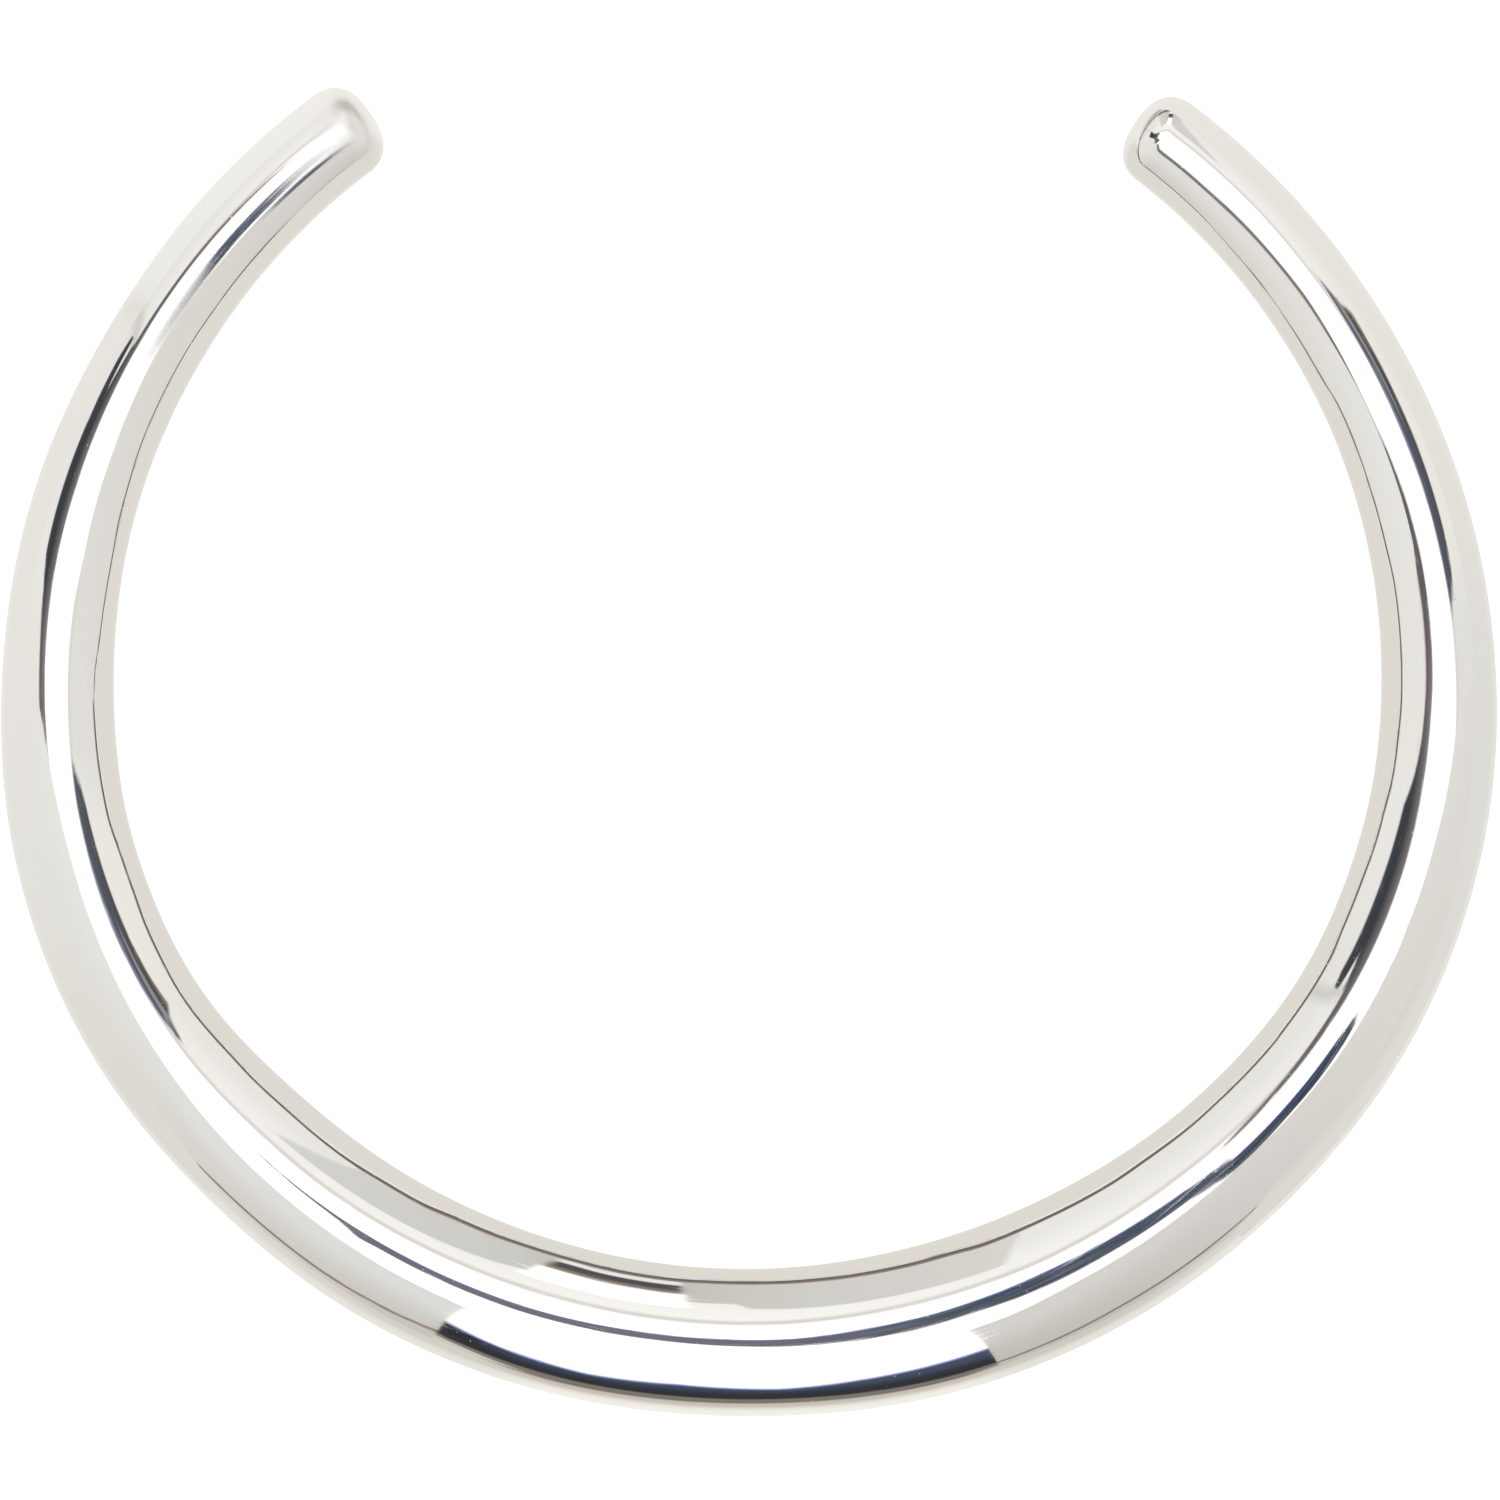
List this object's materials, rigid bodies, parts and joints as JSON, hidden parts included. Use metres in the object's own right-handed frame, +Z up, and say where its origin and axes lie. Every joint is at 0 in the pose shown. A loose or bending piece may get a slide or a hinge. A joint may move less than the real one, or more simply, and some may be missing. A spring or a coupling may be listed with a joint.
{
  "type": "collar choker",
  "caption": "Rigid open neck collar of polished silver tube, wide and oval at the front, with slim round closed arms and a gap at the back.",
  "frame": {"origin": "on the surface that the collar lies on, below the middle of its bounding box", "axes": "+Z up out of the plane of the ring, -Y towards the wide front, +Y towards the gap between the arms, +X to the right seen from above with the front nearest"},
  "size_m": [0.1424, 0.1262, 0.011],
  "materials": {
    "silver": "mirror polished by hand, with fine hairlines"
  },
  "bodies": {
    "root": {"collar": "silver"}
  },
  "joints": []
}
